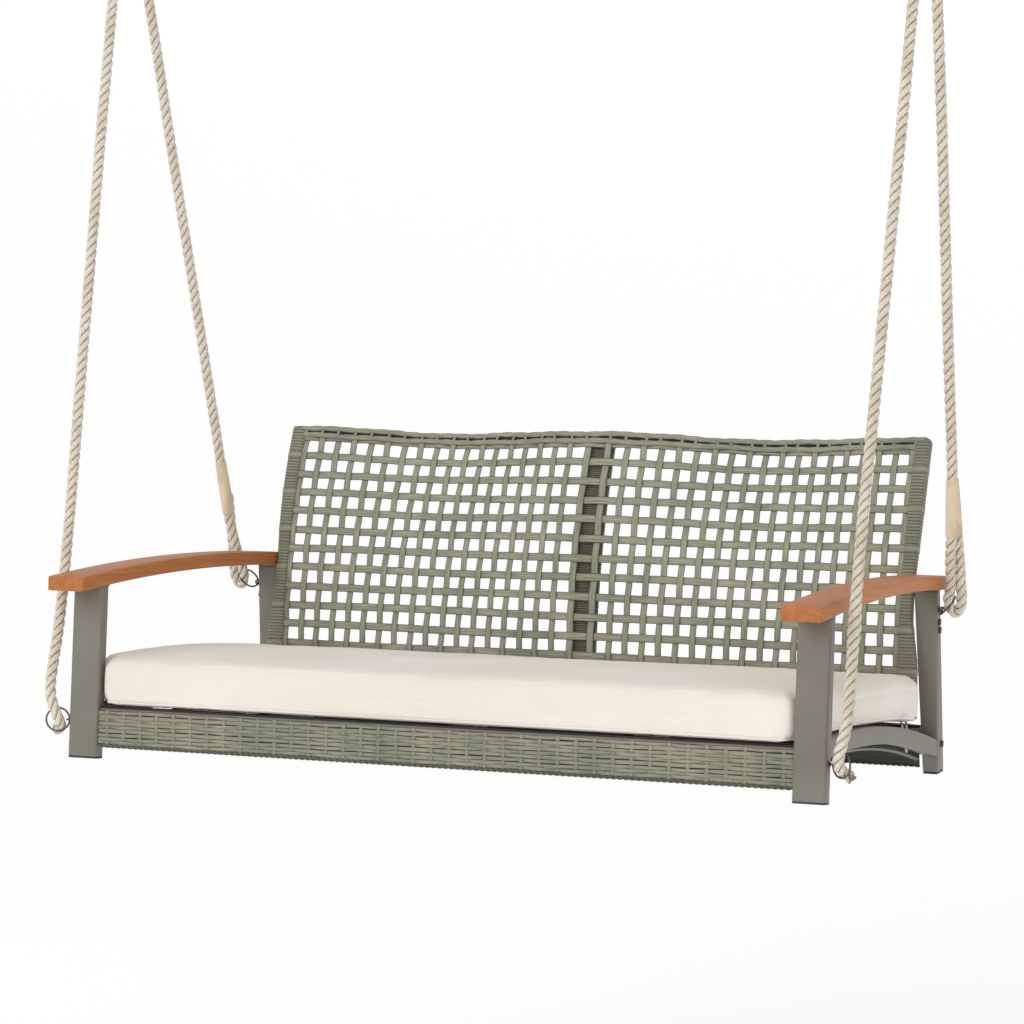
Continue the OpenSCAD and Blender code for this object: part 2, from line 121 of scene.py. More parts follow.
def only(*objects):
    """Selects these objects alone."""
    bpy.ops.object.select_all(action="DESELECT")
    for o in objects:
        o.select_set(True)
    bpy.context.view_layer.objects.active = objects[0]


def rolled(name, along, around, place, length, girth, closed=True, wraps=0):
    """A grid whose vertices go where place(u, v) says; u runs along it and v around it.  A wrapped bar's
    UV map is turned: it follows the strand round the bar, one strand's face for each of the wraps."""
    bpy.ops.object.select_all(action="DESELECT")
    bpy.ops.mesh.primitive_grid_add(x_subdivisions=along, y_subdivisions=around, size=1.0)
    piece = bpy.context.object
    piece.name = name
    mesh = piece.data
    flat = np.empty(len(mesh.vertices) * 3, np.float32)
    mesh.vertices.foreach_get("co", flat)
    u, v = flat[0::3].astype(float) + 0.5, flat[1::3].astype(float) + 0.5
    mesh.vertices.foreach_set("co", place(u, v).astype(np.float32).ravel())
    uv = np.empty(len(mesh.loops) * 2, np.float32)
    mesh.uv_layers.active.data.foreach_get("uv", uv)
    if wraps:
        uv[0::2], uv[1::2] = uv[1::2] * girth, uv[0::2] * wraps * STRAND_GIRTH / 2
    else:
        uv[0::2] *= length
        uv[1::2] *= girth
    mesh.uv_layers.active.data.foreach_set("uv", uv)
    bpy.ops.object.mode_set(mode="EDIT")
    bpy.ops.mesh.select_all(action="SELECT")
    if closed:
        bpy.ops.mesh.remove_doubles(threshold=2e-6)
        bpy.ops.mesh.fill_holes(sides=0)
        bpy.ops.mesh.select_all(action="SELECT")
    bpy.ops.mesh.normals_make_consistent(inside=False)
    bpy.ops.object.mode_set(mode="OBJECT")
    mesh.polygons.foreach_set("use_smooth", np.ones(len(mesh.polygons), bool))
    return piece


def joined(name, pieces):
    """Several strips as one piece, with sharp edges kept where faces meet steeply."""
    only(*pieces)
    if len(pieces) > 1:
        bpy.ops.object.join()
    piece = bpy.context.object
    piece.name = name
    piece.data.name = name
    bpy.ops.object.shade_smooth_by_angle(angle=math.radians(50))
    return piece


def put(piece, body, slot, finish, *replaced):
    """Finishes a piece: its body, material and the measured parts it stands for.  The slot argument is not
    used.
    """
    piece.data.materials.clear()
    piece.data.materials.append(finish)
    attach(piece, body)
    if replaced:
        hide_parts(*replaced)
    print(piece.name, len(piece.data.polygons), "faces")
    return piece


# %% [markdown]
# A finish is a small node tree.  Two helpers keep the trees short: one adds a node with its settings and
# its fixed inputs, the other starts a material from the Principled shader.

# %% Helpers for finishes
def add(tree, kind, settings=None, **inputs):
    node = tree.nodes.new("ShaderNode" + kind)
    for key, value in (settings or {}).items():
        setattr(node, key, value)
    for key, value in inputs.items():
        socket = node.inputs[int(key[1:])] if key[1:].isdigit() else node.inputs[key.replace("_", " ")]
        if isinstance(value, bpy.types.NodeSocket):
            tree.links.new(value, socket)
        else:
            socket.default_value = value
    return node


def maths(tree, operation, *values):
    """The result of a Math node on two or three values."""
    settings = {"operation": operation}
    return add(tree, "Math", settings, **{f"i{k}": value for k, value in enumerate(values)}).outputs[0]


def start_finish(name, roughness, metallic=0.0):
    material = bpy.data.materials.new(name)
    material.use_nodes = True
    shader = material.node_tree.nodes["Principled BSDF"]
    shader.inputs["Roughness"].default_value = roughness
    shader.inputs["Metallic"].default_value = metallic
    return material, material.node_tree, shader


def tone_between(tree, factor, low, high, start=0.3, end=0.7):
    """A colour that goes from low to high as the factor goes from start to end."""
    ramp = add(tree, "ValToRGB", i0=factor)
    ramp.color_ramp.elements[0].position = start
    ramp.color_ramp.elements[1].position = end
    ramp.color_ramp.elements[0].color = (*low, 1)
    ramp.color_ramp.elements[1].color = (*high, 1)
    return ramp.outputs["Color"]


def placed(tree, source, scale):
    """Texture coordinates from the UV map or the object, stretched by scale."""
    coords = add(tree, "TexCoord")
    return add(tree, "Mapping", i0=coords.outputs[source], Scale=scale).outputs["Vector"]


def relief(tree, shader, height, distance, strength=1.0):
    bump = add(tree, "Bump", Strength=strength, Distance=distance, Height=height)
    tree.links.new(bump.outputs["Normal"], shader.inputs["Normal"])


# %% [markdown]
# Rope of this kind is spun cotton: a pale, slightly warm cream, quite matt.  Each of its three strands is
# a bundle of yarns that twist the other way from the rope.  The strands are real shapes; the yarns are a
# fine relief that follows each strand's own UV map.  The grooves between the strands get painted shade,
# and the grooves between the yarns a little painted shade as well.

# %% Rope and twine finishes
def yarn_finish(name, dark, light, yarns, twist, depth, girth=None):
    material, tree, shader = start_finish(name, 0.85)
    coords = add(tree, "TexCoord")
    split = add(tree, "SeparateXYZ", Vector=coords.outputs["UV"])
    along = maths(tree, "MULTIPLY", split.outputs["X"], twist)
    around = maths(tree, "MULTIPLY_ADD", split.outputs["Y"], yarns, along)
    turn = maths(tree, "MULTIPLY", around, 2 * math.pi)
    wave = maths(tree, "SINE", turn)
    fuzz = add(tree, "TexNoise", Vector=placed(tree, "Object", (900, 900, 500)), Scale=1.0, Detail=5.0)
    patches = add(tree, "TexNoise", Vector=placed(tree, "Object", (40, 40, 22)), Scale=1.0, Detail=3.0)
    height = maths(tree, "MULTIPLY_ADD", fuzz.outputs["Fac"], 1.4, wave)
    # Painted shade: the yarn wave also darkens the tone a little in the grooves between yarns.
    tint = maths(tree, "MULTIPLY_ADD", wave, 0.08, patches.outputs["Fac"])
    tone = tone_between(tree, tint, dark, light, 0.36, 0.6)
    if girth:
        # Painted shade: each strand is darkened on its inward side, in the grooves between the strands.
        turn = maths(tree, "MULTIPLY", split.outputs["Y"], 2 * math.pi / girth)
        outward = maths(tree, "COSINE", turn)
        groove_shade_mask = add(tree, "MapRange", i0=outward, i1=-0.5, i2=0.35)
        groove_shade_colour = [0.42 * c for c in dark] + [1]
        tone = add(tree, "Mix", {"data_type": "RGBA"}, i0=groove_shade_mask.outputs[0], i6=groove_shade_colour, i7=tone).outputs[2]
    tree.links.new(tone, shader.inputs["Base Color"])
    relief(tree, shader, height, depth)
    shader.inputs["Sheen Weight"].default_value = 0.15
    shader.inputs["Specular IOR Level"].default_value = 0.2
    return material


ROPE_GIRTH = 0.031
rope_finish = yarn_finish("laid_cotton_rope", (0.82, 0.71, 0.56), (0.94, 0.86, 0.73), 330.0, 130.0,
    0.0005, ROPE_GIRTH)
twine_finish = yarn_finish("whipping_twine", (0.69, 0.54, 0.37), (0.86, 0.71, 0.52), 300.0, 700.0, 0.0002)

# %% [markdown]
# Each rope runs from a short tail at the top, over the wire of the top ring, down to the bench, round a
# small ring beside a leg, and ends in its lower tail.  The route is given by a few points, and a smooth
# line goes through all of them.  The line is cut into short equal steps, so the strands wind evenly.

# %% Rope routes
ROPE_STEP = 2.6
FRONT_ROUTE = [(660, 188, 1330), (663, 195, 1375), (666, 198, 1400), (680, 202, 1413), (694, 198, 1400),
    (689, 195, 1375), (681, 190, 1340), (676, 183, 1290), (668, 133, 970), (660, 83, 650), (652, 33, 330),
    (652.5, 13, 195), (653.5, 2, 145), (652.5, -6, 112), (648.5, -9, 90), (643.5, -6, 74), (641, -0.5, 62),
    (641.5, 6, 54), (644, 14, 48), (650, 18.5, 43), (657, 17, 39)]
REAR_ROUTE = [(660, 250, 1330), (663, 239, 1372), (666, 227, 1402), (680, 221, 1414), (694, 227, 1402),
    (689, 238, 1372), (681, 248, 1340), (674, 264, 1290), (663, 368, 970), (652, 472, 650), (646, 530, 470),
    (641, 551, 385), (636, 567, 340), (633, 584, 303), (628, 590, 282), (631, 596, 266), (637, 599, 261),
    (644, 599, 266), (648, 595, 282), (648, 590, 303), (647, 581, 340), (645, 560, 415)]


def smooth_line(route, step):
    """Equal steps along a smooth curve through the route's points."""
    p = np.array(route, float)
    p = np.vstack([2 * p[0] - p[1], p, 2 * p[-1] - p[-2]])
    t = np.linspace(0, 1, 60, endpoint=False)[:, None]
    parts = []
    for a, b, c, d in zip(p[:-3], p[1:-2], p[2:-1], p[3:]):
        ab, bc, cd = (math.sqrt(np.linalg.norm(q - r)) for q, r in ((b, a), (c, b), (d, c)))
        out = ((b - a) / ab - (c - a) / (ab + bc) + (c - b) / bc) * bc
        into = ((c - b) / bc - (d - b) / (bc + cd) + (d - c) / cd) * bc
        parts.append((2 * t**3 - 3 * t**2 + 1) * b + (t**3 - 2 * t**2 + t) * out
                     + (3 * t**2 - 2 * t**3) * c + (t**3 - t**2) * into)
    dense = np.vstack(parts + [p[-2:-1]])
    run = np.concatenate([[0], np.cumsum(np.linalg.norm(np.diff(dense, axis=0), axis=1))])
    marks = np.linspace(0, run[-1], int(run[-1] / step) + 1)
    return np.stack([np.interp(marks, run, dense[:, k]) for k in range(3)], axis=1), marks


def frames_along(line):
    """Tangent and two side directions at each point, carried along without twisting."""
    t = np.gradient(line, axis=0)
    t /= np.linalg.norm(t, axis=1)[:, None]
    n = np.empty_like(t)
    side = np.array([1.0, 0.1, 0.0])
    for i, tangent in enumerate(t):
        side = side - side.dot(tangent) * tangent
        side /= np.linalg.norm(side)
        n[i] = side
    return t, n, np.cross(t, n)


# %% [markdown]
# Three strands wind round the line like a right-handed screw.  Seen across the rope a strand is a little
# wider than it is deep, because it crosses at an angle, so its section is an oval.  Where a tail has been
# tucked back in, the rope swells, and a cut tail's strands open and thin out.

# %% Winding the ropes
ROPE_LAY = 47.0
STRAND_OFFSET = 4.5
STRAND_DEEP = 4.5
STRAND_WIDE = 5.35


def laid_rope(name, side, route, swell_at=None, loose_tail=0.0):
    points = np.array(route, float) * (side, 1, 1)
    line, run = smooth_line(points, ROPE_STEP)
    t, n, b = frames_along(line)
    size = np.ones(len(line))
    if swell_at is not None:
        near = np.exp(-(((line[:, 2] - swell_at) / 26.0) ** 2)) * (run < run[-1] * 0.93)
        size += 0.2 * near
    spread, thin = np.ones(len(line)), np.ones(len(line))
    if loose_tail:
        open_end = np.clip((run - run[-1] + loose_tail) / loose_tail, 0, 1) ** 1.5
        spread += 0.3 * open_end
        thin -= 0.2 * open_end
    strands = []
    for third in range(3):
        def place(u, v):
            i = np.rint(u * (len(line) - 1)).astype(int)
            turn = 2 * math.pi * (run[i] / ROPE_LAY + third / 3)
            c, s = np.cos(turn)[:, None], np.sin(turn)[:, None]
            out, across = c * n[i] + s * b[i], c * b[i] - s * n[i]
            a = 2 * math.pi * v
            deep = (STRAND_OFFSET * spread[i] + STRAND_DEEP * thin[i] * np.cos(a)) * size[i]
            wide = STRAND_WIDE * thin[i] * np.sin(a) * size[i]
            return hung(line[i] + deep[:, None] * out + wide[:, None] * across)
        strands.append(rolled(name, len(line) - 1, 10, place, run[-1] * MM, ROPE_GIRTH))
    rope = joined(name, strands)
    return rope, hung(line), run[-1] * MM


FRONT_LENGTH = 1.51
REAR_LENGTH = 1.488
for hand, side in (("left", 1), ("right", -1)):
    for which, route, length in (("front", FRONT_ROUTE, FRONT_LENGTH), ("rear", REAR_ROUTE, REAR_LENGTH)):
        name = f"{which}_laid_rope_{hand}"
        rope, line, run = laid_rope(name, side, route, 257.0 if which == "front" and side > 0 else None,
            24.0 if which == "front" else 0.0)
        put(rope, f"ropes_{hand}", "rope", rope_finish, f"{which}_rope_{hand}")
        print(name, "runs", round(run, 3), "m")

# %% [markdown]
# Twine is whipped round the ropes where two legs lie side by side: under the top ring, and along the rear
# ropes just above their eyes.  The wrap is an oval sleeve between the two legs' centres.  Its surface rises
# and falls once for each turn of twine, and the turns climb as a screw does.

# %% Whippings
TWINE_PITCH = 1.7
RINGS_PER_TURN = 6
TOP_R, REAR_R, REAR_LOW_R = 9.8, 8.9, 9.6


def whipping(name, side, top_pair, low_pair, top_r, low_r):
    (a0, b0), (a1, b1) = (np.array(pair, float) * (side, 1, 1) for pair in (top_pair, low_pair))
    axis = (a1 + b1 - a0 - b0) / 2
    length = np.linalg.norm(axis)
    axis /= length
    wide = (b1 - a1) - (b1 - a1).dot(axis) * axis
    wide /= np.linalg.norm(wide)
    deep = np.cross(axis, wide)
    rings = int(length / TWINE_PITCH * RINGS_PER_TURN)

    def place(u, v):
        half_gap = np.interp(u, [0, 1], [np.linalg.norm(b0 - a0) / 2, np.linalg.norm(b1 - a1) / 2])
        r = np.interp(u, [0, 1], [top_r, low_r]) + 0.6 * np.sin(math.pi * np.clip(u, 0, 1)) ** 0.7
        ends = np.sqrt(np.clip(np.minimum(u, 1 - u) * length / 1.2, 0, 1))
        hump = np.abs(np.sin(math.pi * (u * length / TWINE_PITCH + v))) ** 0.6
        r = (r - 1.0) + ends * (0.4 + 0.6 * hump)
        a = 2 * math.pi * v
        cw, cd = np.cos(a), np.sin(a)
        sw, sd = np.sign(cw) * np.abs(cw) ** 0.85, np.sign(cd) * np.abs(cd) ** 0.85
        middle = (a0 + b0) / 2 + u[:, None] * ((a1 + b1) / 2 - (a0 + b0) / 2)
        return hung(middle + ((half_gap + r) * sw)[:, None] * wide + (r * sd)[:, None] * deep)

    return rolled(name, rings, 28, place, length * MM, 0.08)


for hand, side in (("left", 1), ("right", -1)):
    tops = [whipping("whip", side, [(661.6, 195, 1352), (681.4, 193, 1352)],
                     [(659.6, 188, 1322), (679.6, 188, 1322)], TOP_R, TOP_R),
            whipping("whip", side, [(661.6, 246, 1352), (681.4, 245, 1352)],
                     [(659.6, 254, 1322), (679.6, 255, 1322)], TOP_R, TOP_R)]
    put(joined(f"top_twine_{hand}", tops), f"ropes_{hand}", "twine", twine_finish, f"top_whippings_{hand}")
    rear = whipping("whip", side, [(646.2, 529, 472), (646.2, 531, 472)],
                    [(640.8, 551, 384), (645.8, 566, 384)], REAR_R, REAR_LOW_R)
    put(joined(f"rear_twine_{hand}", [rear]), f"ropes_{hand}", "twine", twine_finish,
        f"rear_whipping_{hand}")

# %% [markdown]
# The wicker is extruded plastic strand: sage grey, nearly matt, with fine lines drawn along it when it
# left the die.  The lines follow the strip because the noise is stretched along the strip's own UV map.
# A slow change of tone over the whole bench keeps neighbouring strips from looking the same.  Each strip's
# two edges are painted darker, as painted shade; on a wrapped bar the UV map turns with the wraps, so this
# painted shade falls in the grooves between turns.  The fine lines darken the tone where they cut into the
# relief: partly the strand's own streaks, partly painted shade in those grooves.

# %% Wicker finishes
def wicker_finish(name, dark, light, roughness, painted_rim_shade=0.38):
    material, tree, shader = start_finish(name, roughness)
    lines = add(tree, "TexNoise", Vector=placed(tree, "UV", (22, 1500, 1)), Scale=1.0, Detail=3.0)
    ridges = add(tree, "TexNoise", Vector=placed(tree, "UV", (5, 420, 1)), Scale=1.0, Detail=1.0)
    patches = add(tree, "TexNoise", Vector=placed(tree, "Object", (14, 14, 14)), Scale=1.0, Detail=4.0)
    calm = maths(tree, "MULTIPLY", patches.outputs["Fac"], 0.35)
    # Partly painted shade: the fine lines set both tone and relief, so their low grooves are darker.
    mixed = maths(tree, "MULTIPLY_ADD", lines.outputs["Fac"], 0.8, calm)
    tone = tone_between(tree, mixed, dark, light, 0.42, 0.74)
    # Painted shade: the tone goes dark towards each strip's edges, and between the turns of a wrapped bar.
    split = add(tree, "SeparateXYZ", Vector=add(tree, "TexCoord").outputs["UV"])
    turn = maths(tree, "MULTIPLY", split.outputs["Y"], 2 * math.pi / STRAND_GIRTH)
    face = maths(tree, "ABSOLUTE", maths(tree, "SINE", turn))
    clear = add(tree, "MapRange", i0=face, i1=0.34, i2=0.80)
    painted_edge_shade = [painted_rim_shade * c for c in dark] + [1]
    tone = add(tree, "Mix", {"data_type": "RGBA"}, i0=clear.outputs[0], i6=painted_edge_shade, i7=tone).outputs[2]
    tree.links.new(tone, shader.inputs["Base Color"])
    height = maths(tree, "MULTIPLY_ADD", ridges.outputs["Fac"], 2.0, lines.outputs["Fac"])
    relief(tree, shader, height, 0.0008)
    shader.inputs["Specular IOR Level"].default_value = 0.35
    return material


wicker = wicker_finish("sage_wicker", (0.185, 0.186, 0.130), (0.395, 0.390, 0.290), 0.55)
wrap_wicker = wicker_finish("wrapped_wicker", (0.200, 0.198, 0.142), (0.410, 0.402, 0.302), 0.55, 0.72)
post_wicker = wicker_finish("knotted_wicker", (0.115, 0.112, 0.082), (0.290, 0.284, 0.212), 0.6, 0.55)
# Painted shade: a darker copy of the wicker finish, for the deck and rear apron that lie in shadow.
dark_wicker = wicker_finish("shadow_wicker", (0.075, 0.073, 0.055), (0.15, 0.148, 0.115), 0.6)
# Painted shade: a near-black finish for the top core and for the sheets that stand in for shadow.
painted_shade_finish = wicker_finish("painted_shade_wicker", (0.030, 0.030, 0.024), (0.055, 0.055, 0.043), 0.7)

# %% [markdown]
# The back is an open square weave on a curved surface: upright strips from the bottom rail to the top, and
# cross strips from stile to stile, over and under in turn.  The surface itself leans back more the higher
# it goes, and each seat's half is scooped.  One function gives that surface for whole arrays at once.

# %% The curved surface of the back
BACK_Y, BACK_Z = 590.6, 180.4
BACK_HALF = 572.5
SCOOP_DEPTH = 6.7
RECLINE, SCOOP_RECLINE, CURVE = 1.6, 5.6, 16.0
COLUMNS, ROWS = 37, 11
COLUMN_PITCH, ROW_PITCH = 29.0, 32.6
CENTRE_GAP = 7.9
STRIP_T = 1.7
WEAVE = 1.3


def scoop(x):
    return (1 - np.cos(2 * math.pi * x / BACK_HALF)) / 2


def lean(x, s):
    return np.radians(RECLINE + SCOOP_RECLINE * scoop(x) + CURVE * s / 300)


def on_back(x, s, d):
    """The point of the back at x and s up the slope, moved out of the surface by d, positive backwards."""
    mean, here = lean(x, s / 2), lean(x, s)
    return stack(x, BACK_Y + s * np.sin(mean) + SCOOP_DEPTH * scoop(x) + d * np.cos(here),
                 BACK_Z + s * np.cos(mean) - d * np.sin(here))


upright_xs = []
for k in range(COLUMNS + 1):
    away = k - COLUMNS / 2
    shift = CENTRE_GAP / 2 if abs(away) < 1 else CENTRE_GAP
    upright_xs.append(away * COLUMN_PITCH + math.copysign(shift, away))
cross_ss = [(ROWS - 0.5 - i) * ROW_PITCH for i in range(ROWS + 1)]
print("uprights from", upright_xs[0], "to", upright_xs[-1], "mm")

# %% [markdown]
# A strip's section is a flat oval with softly rounded edges, so light catches its rims.  The same section
# is rolled along every upright and every cross strip; only the path and the over-and-under change.

# %% Weaving the back
def strip_section(v, width, thick):
    """Across and through positions of a flat strip's outline, a rounded rectangle."""
    c, s = np.cos(2 * math.pi * v), np.sin(2 * math.pi * v)
    return (width / 2 * np.sign(c) * np.abs(c) ** 0.45, thick / 2 * np.sign(s) * np.abs(s) ** 0.8)


UPRIGHT_W, CROSS_W = 11.1, 13.1
LOW_S, HIGH_S = -40.0, 352.0
uprights = []
for k, x in enumerate(upright_xs):
    width = UPRIGHT_W + (1.2 if abs(k - COLUMNS / 2) < 1 else 0)
    drift = 0.9 * math.sin(1.7 * k)

    def place(u, v):
        s = LOW_S + u * (HIGH_S + 4 - LOW_S)
        across, through = strip_section(v, width, STRIP_T)
        wave = WEAVE * np.cos(math.pi * (ROWS - 0.5 - s / ROW_PITCH + k))
        sway = drift * np.sin(s / 61.0 + k) * (abs(x) < 530)
        return hung(on_back(x + across + sway, s, through + wave))
    uprights.append(rolled("upright", 84, 10, place, 0.396, STRAND_GIRTH))
put(joined("woven_uprights", uprights), "bench", "wicker", wicker, "back_uprights")

crossings = []
for i, level in enumerate(cross_ss + [-28.4]):
    def place(u, v):
        x = (2 * u - 1) * 548.5
        across, through = strip_section(v, CROSS_W, STRIP_T)
        column = np.interp(x, upright_xs, np.arange(COLUMNS + 1))
        wave = -WEAVE * np.cos(math.pi * (column + i))
        sag = 1.0 * np.sin(x / 97.0 + 1.9 * i)
        return hung(on_back(x, level + across + sag, through + wave))
    crossings.append(rolled("cross", 260, 10, place, 1.097, STRAND_GIRTH))
put(joined("woven_cross_strips", crossings), "bench", "wicker", wicker, "back_cross_strips")

# %% [markdown]
# The frame of the back is wrapped: narrow flat strand goes round each stile, turn against turn, and every
# second cross strip is taken right round the stile on top of the wrap.  The wrap is a rounded bar whose
# surface rises once per turn, with a tight groove between turns.  A darker, knotted post covers the gap
# between the two seats' halves.

# %% Wrapped stiles, post and bottom rail
WRAP = 5.2
STILE_LOW, STILE_HIGH = -93.0, 361.0
STILE_X, STILE_W, STILE_D = 560.0, 24.0, 19.0
WRAP_RISE = 0.8 / 12.0
FRAME_D = 4.0
BOTTOM_RAIL_S, BOTTOM_RAIL_HALF = -38.0, 547.5
POST_PITCH = 3.6


def bar_section(v, width, depth, power=0.4):
    c, s = np.cos(2 * math.pi * v), np.sin(2 * math.pi * v)
    return width / 2 * np.sign(c) * np.abs(c) ** power, depth / 2 * np.sign(s) * np.abs(s) ** power


def stile_flare(s):
    """How much wider than at its top a stile is: drawn in between the arms, broader below them."""
    return 6.0 * np.clip((60 - s) / 60, 0, 1) - 5.5 * np.exp(-(((s - 100) / 90) ** 2))


def turns(run, pitch, sharp=0.45):
    """From 0 in a groove to 1 on top of a turn."""
    return np.abs(np.sin(math.pi * run / pitch)) ** sharp


for hand, side in (("left", 1), ("right", -1)):
    def place(u, v):
        s = STILE_LOW + u * (STILE_HIGH - STILE_LOW)
        wider = stile_flare(s)
        across, through = bar_section(v, STILE_W, STILE_D)
        across *= 1 + wider / STILE_W
        grow = 1 + WRAP_RISE * turns(s, WRAP)
        close = np.clip(np.minimum(s - STILE_LOW, STILE_HIGH - s) / 4.0, 0, 1) ** 0.5 * 0.12 + 0.88
        grow = grow * close
        return hung(on_back(side * (STILE_X + wider / 2) + across * grow, s, FRAME_D + through * grow))
    stile = [rolled("stile", 522, 24, place, 0.454, 0.09, wraps=(STILE_HIGH - STILE_LOW) / WRAP)]
    for level in cross_ss[1::2]:
        def place(u, v):
            s = level + (u - 0.5) * (CROSS_W + 0.6)
            across, through = bar_section(v, STILE_W + 2.2, STILE_D + 2.2)
            close = 0.86 + 0.14 * np.clip(np.minimum(u, 1 - u) * 9, 0, 1) ** 0.5
            wider = stile_flare(s)
            across *= 1 + wider / STILE_W
            return hung(on_back(side * (STILE_X + wider / 2) + across * close, s, FRAME_D + through * close))
        stile.append(rolled("stile", 12, 24, place, 0.013, 0.09, wraps=1))
    put(joined(f"wrapped_stile_{hand}", stile), "bench", "wicker", wrap_wicker, f"back_stile_{hand}")


def place(u, v):
    s = -27.5 + u * 371
    across, through = bar_section(v, 50.0, 9.6, 0.3)
    knots = np.sin(math.pi * s / POST_PITCH) * np.cos(math.pi * across / 4.1)
    return hung(on_back(across, s, 12.0 + through * (1 + 0.17 * knots)))


post = rolled("post", 420, 64, place, 0.371, 0.12, wraps=371 / POST_PITCH)
put(joined("wrapped_centre_post", [post]), "bench", "wicker", post_wicker, "back_centre_post")


def place(u, v):
    x = (2 * u - 1) * BOTTOM_RAIL_HALF
    up, through = bar_section(v, 18.4, 18.4)
    grow = 1 + 0.07 * turns(x, 6.4)
    return hung(on_back(x, BOTTOM_RAIL_S + up * grow, FRAME_D + through * grow))


rail = rolled("rail", 850, 16, place, 1.095, 0.07, wraps=171)
put(joined("wrapped_bottom_rail", [rail]), "bench", "wicker", wrap_wicker, "back_bottom_rail")

# %% [markdown]
# Along the top, two heavy strands run from stile to stile over a dark core, one above the other.  They sit
# a little apart, and a short strand crosses the gap at each upright, so the gap shows as a row of dark
# dashes; the core's near-black finish is painted shade for that gap.  The strands waver slightly: this
# edge is woven by hand.

# %% The top border
def place(u, v):
    x = (2 * u - 1) * 549
    up, through = bar_section(v, 15.0, 16.5)
    return hung(on_back(x, 351.5 + up, FRAME_D + through))


core = rolled("core", 110, 12, place, 1.098, 0.06)
put(joined("top_rail_core", [core]), "bench", "wicker", painted_shade_finish, "back_top_rail")

strands = []
for level, width, phase in ((358.5, 10.8, 0.0), (346.4, 10.4, 1.3)):
    def place(u, v):
        x = (2 * u - 1) * (571.0 if level > 350 else 549.0)
        up, through = bar_section(v, width, 19.6, 0.6)
        waver = 0.7 * np.sin(x / 17.0 + phase) + 0.5 * np.sin(x / 41.0 + 2 * phase)
        edge = np.clip((571.5 - np.abs(x)) / 9.0, 0, 1) ** 0.5
        twist = 1 + 0.06 * np.sin(x / 4.6 + 8 * math.pi * v)
        return hung(on_back(x, level + waver * edge + up * twist * (0.5 + 0.5 * edge) - 3.0 * (1 - edge),
                            FRAME_D + through * twist * (0.55 + 0.45 * edge)))
    strands.append(rolled("border", 420, 16, place, 1.14, STRAND_GIRTH))
for k, x in enumerate(upright_xs):
    def place(u, v):
        s = 347.5 + u * 9.5
        across, through = strip_section(v, 5.5, 1.2)
        front = -5.0 - 0.4 * np.sin(math.pi * u)
        return hung(on_back(x + 4.0 * math.sin(3.1 * k) + across + 2.0 * (u - 0.5), s, front + through))
    strands.append(rolled("border", 8, 8, place, 0.02, STRAND_GIRTH))
put(joined("top_border", strands), "bench", "wicker", wicker)

# %% [markdown]
# Under the cushion lies a woven deck, seen mainly from below.  It is a close plain weave of flat strand on
# the same gentle arch as the side rails.  It wears the darker copy of the wicker finish, which is painted
# shade for the shadow under the cushion.

# %% The seat deck
DECK_HALF, DECK_FRONT, DECK_REAR = 582.0, 31.5, 621.5
DECK_PITCH = 15.2


def deck_top(y):
    return 95 - 1.45e-4 * (y - 290) ** 2


deck = []
lengthwise = int((DECK_REAR - DECK_FRONT) / DECK_PITCH)
crosswise = int(2 * DECK_HALF / DECK_PITCH)
for i in range(lengthwise):
    middle = DECK_FRONT + (i + 0.5) * (DECK_REAR - DECK_FRONT) / lengthwise

    def place(u, v):
        x = (2 * u - 1) * DECK_HALF
        across, through = strip_section(v, DECK_PITCH - 0.8, 1.1)
        y = middle + across
        wave = 0.75 * np.cos(math.pi * ((x + DECK_HALF) / (2 * DECK_HALF) * crosswise - 0.5 + i))
        return hung(stack(x, y, deck_top(y) - 2.0 + wave + through))
    deck.append(rolled("deck", 154, 4, place, 1.164, STRAND_GIRTH))
for j in range(crosswise):
    middle = -DECK_HALF + (j + 0.5) * 2 * DECK_HALF / crosswise

    def place(u, v):
        y = DECK_FRONT + u * (DECK_REAR - DECK_FRONT)
        across, through = strip_section(v, DECK_PITCH - 1.2, 1.1)
        wave = -0.75 * np.cos(math.pi * (u * lengthwise - 0.5 + j))
        return hung(stack(middle + across, y, deck_top(y) - 2.0 + wave + through))
    deck.append(rolled("deck", 78, 4, place, 0.59, STRAND_GIRTH))
put(joined("woven_deck", deck), "bench", "dark_wicker", dark_wicker, "seat_deck")

# %% [markdown]
# The apron below the seat is woven close: nine rows of strand lie against each other and pass behind an
# upright stake in turn, so each row looks laid in bricks.  Its lower edge is a two-strand twist.  The rear
# apron is made the same way, in the darker copy of the wicker finish, which is painted shade for where it
# lies.

# %% Aprons
STAKE_PITCH = 29.0


